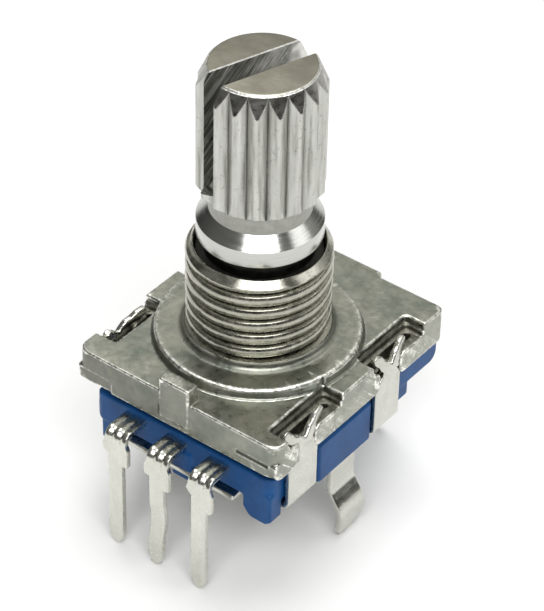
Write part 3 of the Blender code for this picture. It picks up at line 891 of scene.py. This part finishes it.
def smooth_path(points, steps=6):
    """A path through the points on a Catmull-Rom curve."""
    ends = [Vector(points[0]) * 2 - Vector(points[1])] + [Vector(p) for p in points]
    ends.append(Vector(points[-1]) * 2 - Vector(points[-2]))
    path = []
    for i in range(1, len(ends) - 2):
        a, b, c, d = ends[i - 1:i + 3]
        for step in range(steps):
            t = step / steps
            path.append(0.5 * (2 * b + (c - a) * t + (2 * a - 5 * b + 4 * c - d) * t * t
                               + (3 * b - a - 3 * c + d) * t * t * t))
    path.append(Vector(points[-1]))
    return path


def make_claw(side, points):
    """A prong of a split strap, bent over the casting's lip: points are (y, z, lean inwards)."""
    root_half, tip_half, swell, round_from, thickness = 0.34, 0.25, 0.1, 0.88, 0.34
    x = HALF - SHEET / 2
    path = smooth_path([(side * (x - lean), y, z) for y, z, lean in points])
    count = len(path)
    sides, spans = [], []
    for i in range(count):
        tangent = path[min(i + 1, count - 1)] - path[max(i - 1, 0)]
        sides.append(tangent.cross(Vector((side, 0, 0))))
        share = i / (count - 1)
        half = root_half + (tip_half - root_half) * share
        half *= 1 + swell * math.sin(6 * math.pi * share)
        if share > round_from:
            half *= math.sqrt(max(0.3, 1 - ((share - round_from) / 0.12) ** 2))
        spans.append((-half, half))
    return sheet("claw", [tuple(p) for p in path], spans, thickness, sides, radius=0.1, columns=4)


def make_claws():
    """The prongs of the four split straps, each bent over the casting's lip."""
    middle = PLATE - 0.55
    leans = (0.0, 0.03, 0.12, 0.24, 0.34)
    front_prongs = (
        ((-3.8, -0.55), (-3.68, -0.25), (-3.25, 0), (-2.8, 0.2), (-2.32, 0.4)),
        ((-4.1, -0.55), (-4.32, -0.25), (-4.68, 0), (-4.95, 0.3), (-5.06, 0.6)),
    )
    rear_prongs = (
        ((2.95, -0.55), (3.05, -0.25), (3.38, 0), (3.78, 0.2), (4.15, 0.4)),
        ((2.5, -0.55), (2.4, -0.25), (2.22, 0), (2.0, 0.28), (1.82, 0.5)),
    )
    claws = []
    for side in (-1, 1):
        shift = LEFT_SHIFT if side < 0 else 0.0
        for move, prongs in ((shift, front_prongs), (0.0, rear_prongs)):
            for prong in prongs:
                points = [(y + move, middle + rise, lean) for (y, rise), lean in zip(prong, leans)]
                claws.append(make_claw(side, points))
    return claws


def make_strap(side, front, rear, slot):
    """A strap bent up from the bottom plate, which narrows to pass the casting's slot."""
    middle, bend, root, neck_half = HALF - SHEET / 2 - 0.04, 0.3, 4.3, 0.5
    path = [(side * root, 0, SHEET / 2)]
    spans = [(front, rear)]
    for x, z in arc((middle - bend, SHEET / 2 + bend), bend, -90, 0, 8):
        path.append((side * x, 0, z))
        spans.append((front, rear))
    neck = ((slot[0] + slot[1]) / 2 - neck_half, (slot[0] + slot[1]) / 2 + neck_half)
    top, taper, steps = PLATE - 1.75, 0.75, 8
    for step in range(steps + 1):
        share = step / steps
        ease = share * share * (3 - 2 * share)
        path.append((side * middle, 0, top + taper * share))
        spans.append((front + (neck[0] - front) * ease, rear + (neck[1] - rear) * ease))
    path.append((side * middle, 0, PLATE - 0.72))
    spans.append(neck)
    return sheet("strap", path, spans, SHEET, Vector((0, 1, 0)), radius=0.05, columns=3)


def make_leg(side):
    """A snap-in leg: down through the board, out below it, and back in to a round tip."""
    outer = [
        (5.25, -0.9), (5.25, -2.1), (5.48, -2.6), (5.74, -3.0),
        (5.9, -3.4), (5.9, -3.85), (5.78, -4.4), (5.62, TIP + 0.02),
    ]
    inner = [(x - SHEET / 2, z) for x, z in outer]
    bend, half_width, tip_length = 0.45, 0.95, 0.7
    start = [(4.0, SHEET / 2), (4.5, SHEET / 2)]
    start += arc((5.1 - bend, SHEET / 2 - bend), bend, 80, 0, 5)
    points = [(side * x, 0, z) for x, z in start + inner]
    path = [tuple(p) for p in smooth_path(points, 4)]
    spans = []
    for point in path:
        to_tip = (point[2] - TIP) / tip_length
        half = half_width * math.sqrt(max(0.06, 1 - max(0.0, 1 - to_tip) ** 2))
        spans.append((-half, half))
    return sheet("leg", path, spans, SHEET, Vector((0, 1, 0)), radius=0.06, columns=4)


def make_bracket(look):
    """One stamping: bottom plate, four straps with their prongs, and two legs."""
    right = [
        (3.4, -6.2), (3.4, -5.1), (4.6, -5.1), (4.6, -2.95), (4.85, -2.95),
        (4.85, 1.5), (4.6, 1.5), (4.6, 3.5), (3.4, 3.5), (3.4, 4.0),
    ]
    left = [(-x, y) for x, y in reversed(right)]
    parts = [prism("bottom_plate", left[-1:] + right + left[:-1], 0.0, SHEET)]
    for side in (-1, 1):
        shift = LEFT_SHIFT if side < 0 else 0.0
        slot = (STRAP_FRONT[0] + shift, STRAP_FRONT[1] + shift)
        parts.append(make_strap(side, -5.1 + 1.2 * shift, -3.0 + 0.3 * shift, slot))
        parts.append(make_strap(side, 1.57, 3.5, (1.95, 3.35)))
        parts.append(make_leg(side))
    bracket = merge("mounting_bracket_bent", parts + make_claws())
    melt(bracket, 0.045, 3)
    return finish_piece(bracket, [look], ["mounting_bracket"], sharp=60)


# ---- terminals

def coined_grooves(share, depth):
    """How far a terminal's face sinks at this share of its width: two V grooves side by side."""
    groove_half = 0.17
    return max(0.0, *(depth * (1 - abs(share - middle) / groove_half) for middle in (0.3, 0.72)))


def round_tip(length, half):
    """Heights left to go and half widths along a terminal's rounded tip."""
    steps = 8
    for step in range(1, steps + 1):
        share = math.sin(math.pi / 2 * step / steps)
        yield length * (1 - share), half * math.sqrt(max(0.03, 1 - share ** 2.2))


def make_front_terminal(name, node, x, left, right, sway, look):
    """A terminal that leaves the body level, bends down over coined grooves, and ends in a pin.

    `left` and `right` hold the heights between which each shoulder narrows to the pin, and `sway`
    how far the pin's middle is bent sideways.
    """
    level = corner(node, 1).z - SHEET / 2
    shoulder, level_half, groove_depth, tip_length = 0.74, 0.62, 0.09, 0.75
    root, groove_start, groove_fade = -4.2, -6.35, 0.4
    top = level - BEND
    path, spans, depths = [], [], []

    def station(y, z, halves, depth=0.0, shift=0.0):
        path.append((x + shift, y, z))
        spans.append((-halves[1], halves[0]))
        depths.append(depth)

    def edge(z, step):
        share = min(1.0, max(0.0, (step[0] - z) / (step[0] - step[1])))
        return shoulder + (PIN_HALF - shoulder) * share

    level_end, level_steps = PIN_Y + BEND, 12
    for step in range(level_steps + 1):
        y = root + (level_end - root) * step / level_steps
        fade = min(1.0, max(0.0, groove_start - y) / groove_fade)
        station(y, level, (level_half, level_half), groove_depth * fade)
    for y, z in arc((level_end, level - BEND), BEND, 90, 180, 14):
        station(y, z, (level_half, level_half), groove_depth)
    grow = 0.3  # height over which the strip widens from its bend to its shoulders
    station(PIN_Y, top - grow / 2, ((level_half + shoulder) / 2,) * 2, 0.05)
    heights = [top - grow - 0.06 * step for step in range(36)]
    heights += [z + lift for z in left + right for lift in (0.001, -0.001)]
    for z in sorted(heights, reverse=True):
        station(PIN_Y, z, (edge(z, left), edge(z, right)))
    low, pin_steps, sway_waves = path[-1][2], 18, 1.6
    for step in range(1, pin_steps + 1):
        share = step / pin_steps
        z = low + (TIP + tip_length - low) * share
        station(PIN_Y, z, (PIN_HALF, PIN_HALF), 0.0, sway * math.sin(math.pi * share * sway_waves))
    last_shift = path[-1][0] - x
    for left_to_go, half in round_tip(tip_length, PIN_HALF):
        station(PIN_Y, TIP + left_to_go, (half, half), 0.0, last_shift)
    terminal = sheet(
        name, path, spans, SHEET, Vector((-1, 0, 0)), radius=0.05, columns=24,
        relief=lambda share, i: coined_grooves(share, depths[i]),
    )
    return finish_piece(terminal, [look], [node], sharp=30)


def make_rear_terminal(name, node, x, look):
    """A switch terminal: level out of the back of the body, then bent down into a pin."""
    level = corner(node, 1).z - SHEET / 2
    rear = corner(node, 1).y - SHEET / 2
    low_tip = corner(node, 0).z
    root, level_half, tip_length, level_steps, pin_steps = 2.9, 0.45, 0.6, 5, 7
    path = [
        (x, root + (rear - BEND - root) * step / level_steps, level) for step in range(level_steps + 1)
    ]
    path += [(x, y, z) for y, z in arc((rear - BEND, level - BEND), BEND, 90, 0, 10)]
    spans = [(-level_half, level_half)] * len(path)
    for step in range(1, pin_steps + 1):
        path.append((x, rear, level - BEND - (level - BEND - low_tip - tip_length) * step / pin_steps))
        spans.append((-PIN_HALF, PIN_HALF))
    for left_to_go, half in round_tip(tip_length, PIN_HALF):
        path.append((x, rear, low_tip + left_to_go))
        spans.append((-half, half))
    terminal = sheet(name, path, spans, SHEET, Vector((1, 0, 0)), radius=0.05, columns=6)
    return finish_piece(terminal, [look], [node], sharp=50)


# ---- staging

def add_camera():
    """A long lens from the photograph's side, aimed a little off the plate's middle."""
    azimuth, elevation, roll = math.radians(36.853), math.radians(38.936), math.radians(1.286)
    distance, right_shift, up_shift = 132.48, 0.655, 1.203
    flat = math.cos(elevation)
    back = Vector((math.sin(azimuth) * flat, -math.cos(azimuth) * flat, math.sin(elevation)))
    right = Vector((math.cos(azimuth), math.sin(azimuth), 0))
    up = back.cross(right)
    turned_right = right * math.cos(roll) + up * math.sin(roll)
    turned_up = up * math.cos(roll) - right * math.sin(roll)
    place = back * distance + turned_right * right_shift + turned_up * up_shift + Vector((0, 0, PLATE))
    data = bpy.data.cameras.new("camera")
    data.lens = 165.25
    data.sensor_width = 36
    data.clip_start = 0.005
    data.clip_end = 10
    camera = bpy.data.objects.new("camera", data)
    turned = Matrix((turned_right, turned_up, back)).transposed().to_4x4()
    camera.matrix_world = Matrix.Translation(place * MM) @ turned
    bpy.context.scene.collection.objects.link(camera)
    bpy.context.scene.camera = camera


def add_light(name, place, size, power):
    """A rectangular lamp aimed at the object, its size in millimetres."""
    data = bpy.data.lights.new(name, "AREA")
    data.shape = "RECTANGLE"
    data.size, data.size_y = size[0] * MM, size[1] * MM
    data.energy = power
    lamp = bpy.data.objects.new(name, data)
    lamp.location = Vector(place) * MM
    lamp.rotation_euler = (Vector(AIM) - Vector(place)).to_track_quat("-Z", "Y").to_euler()
    bpy.context.scene.collection.objects.link(lamp)


def add_world():
    """A pale room: dim near the horizon, brighter higher up, and dim again behind the camera."""
    world = bpy.data.worlds.new("studio")
    world.use_nodes = True
    bpy.context.scene.world = world
    tree = Tree(world.node_tree, "Generated")
    split = tree.nodes.new("ShaderNodeSeparateXYZ")
    tree.links.new(tree.place, split.inputs[0])
    facing = tree.vector_math("DOT_PRODUCT", around(160, 0, 1))
    by_height = warmed(((0.0, 0.08), (0.12, 0.12), (0.45, 0.62), (0.7, 0.80), (1.0, 0.70)))
    by_side = warmed(((0.0, 0.22), (0.35, 0.35), (0.65, 1.0), (1.0, 1.0)))
    rise = tree.ramp(split.outputs["Z"], by_height)
    side = tree.ramp(facing.outputs["Value"], by_side)
    background = tree.nodes["Background"]
    tree.links.new(tree.mix(1.0, rise, side, "MULTIPLY"), background.inputs["Color"])
    background.inputs["Strength"].default_value = 1.0


def warmed(stops):
    """A slightly warm colour for each stop's brightness."""
    blue_share = 0.97
    return [(at, (value, value, value * blue_share)) for at, value in stops]


def around(azimuth, elevation, distance):
    """A place seen from the object: degrees to the right of the camera, degrees up, millimetres."""
    turn = CAMERA_SIDE + math.radians(azimuth)
    rise = math.radians(elevation)
    flat = distance * math.cos(rise)
    return (flat * math.cos(turn), flat * math.sin(turn), distance * math.sin(rise))


def add_floor():
    """A plain pale sheet just under the terminals' tips."""
    reach, level = 900, TIP - 0.02
    corners = [(-reach, -reach), (reach, -reach), (reach, reach), (-reach, reach)]
    floor = add_object("floor", [(x, y, level) for x, y in corners], [(0, 1, 2, 3)])
    floor.data.transform(Matrix.Scale(MM, 4))
    look = bpy.data.materials.new("pale_floor")
    look.use_nodes = True
    shader = look.node_tree.nodes["Principled BSDF"]
    shader.inputs["Base Color"].default_value = (0.97, 0.97, 0.97, 1)
    shader.inputs["Roughness"].default_value = 0.9
    shader.inputs["Specular IOR Level"].default_value = 0.0
    floor.data.materials.append(look)


def dress_inner_nodes():
    """Gives the CAD nodes that are kept as they are their materials."""
    steel = inner_look("spring_steel_sheet", (0.45, 0.45, 0.44), (0.62, 0.62, 0.6), 1.0, 0.3)
    bronze = inner_look("spring_bronze_sheet", (0.62, 0.42, 0.25), (0.8, 0.6, 0.4), 1.0, 0.3)
    black = inner_look("black_moulding", (0.02, 0.02, 0.02), (0.045, 0.045, 0.045), 0.0, 0.45, 12.0)
    looks = {
        steel: ("retaining_ring", "click_spring", "snap_dome"),
        bronze: ("code_disc", "brush_a", "brush_c", "brush_b"),
        black: ("rotor_hub", "push_plunger"),
    }
    for look, nodes in looks.items():
        for node in nodes:
            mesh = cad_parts[node].data
            mesh.materials.clear()
            mesh.materials.append(look)


def main():
    add_camera()
    add_world()
    add_floor()
    add_light("lamp", around(3, 52, 400), (330, 170), 1.0)
    add_light("window", around(82, 33, 450), (260, 110), 0.16)
    add_light("ceiling", around(180, 78, 500), (300, 300), 1.25)
    make_shaft([
        nickel_side_look(), nickel_face_look(), slot_wall_look(), collar_look(),
        nickel_cone_look(), neck_look(), gap_shade_look(), edge_highlight_look(),
    ])
    zinc = zinc_look("zinc_casting", 1.0, 0.86)
    # The third look is a darker copy of the zinc, painted shade for the front face.
    make_casting([zinc, notch_shade_look(), zinc_look("zinc_casting_front_painted_shade", 0.48, 0.8)])
    make_bush([thread_look(), zinc, chamfer_look()])
    make_body(blue_look())
    tin = tin_look()
    make_bracket(tin)
    silver = terminal_look()
    make_front_terminal("front_terminal_a", "terminal_a", -PITCH_X, (0.75, 0.45), (0.12, 0.08), 0.0, silver)
    make_front_terminal("front_terminal_c", "terminal_c", 0.0, (0.52, 0.48), (0.02, -0.02), 0.1, silver)
    make_front_terminal("front_terminal_b", "terminal_b", PITCH_X, (1.05, 0.7), (0.07, 0.03), 0.0, silver)
    make_rear_terminal("rear_terminal_d", "switch_terminal_d", -PITCH_X, silver)
    make_rear_terminal("rear_terminal_e", "switch_terminal_e", PITCH_X, silver)
    dress_inner_nodes()
    bpy.context.scene.view_settings.view_transform = "Standard"


main()
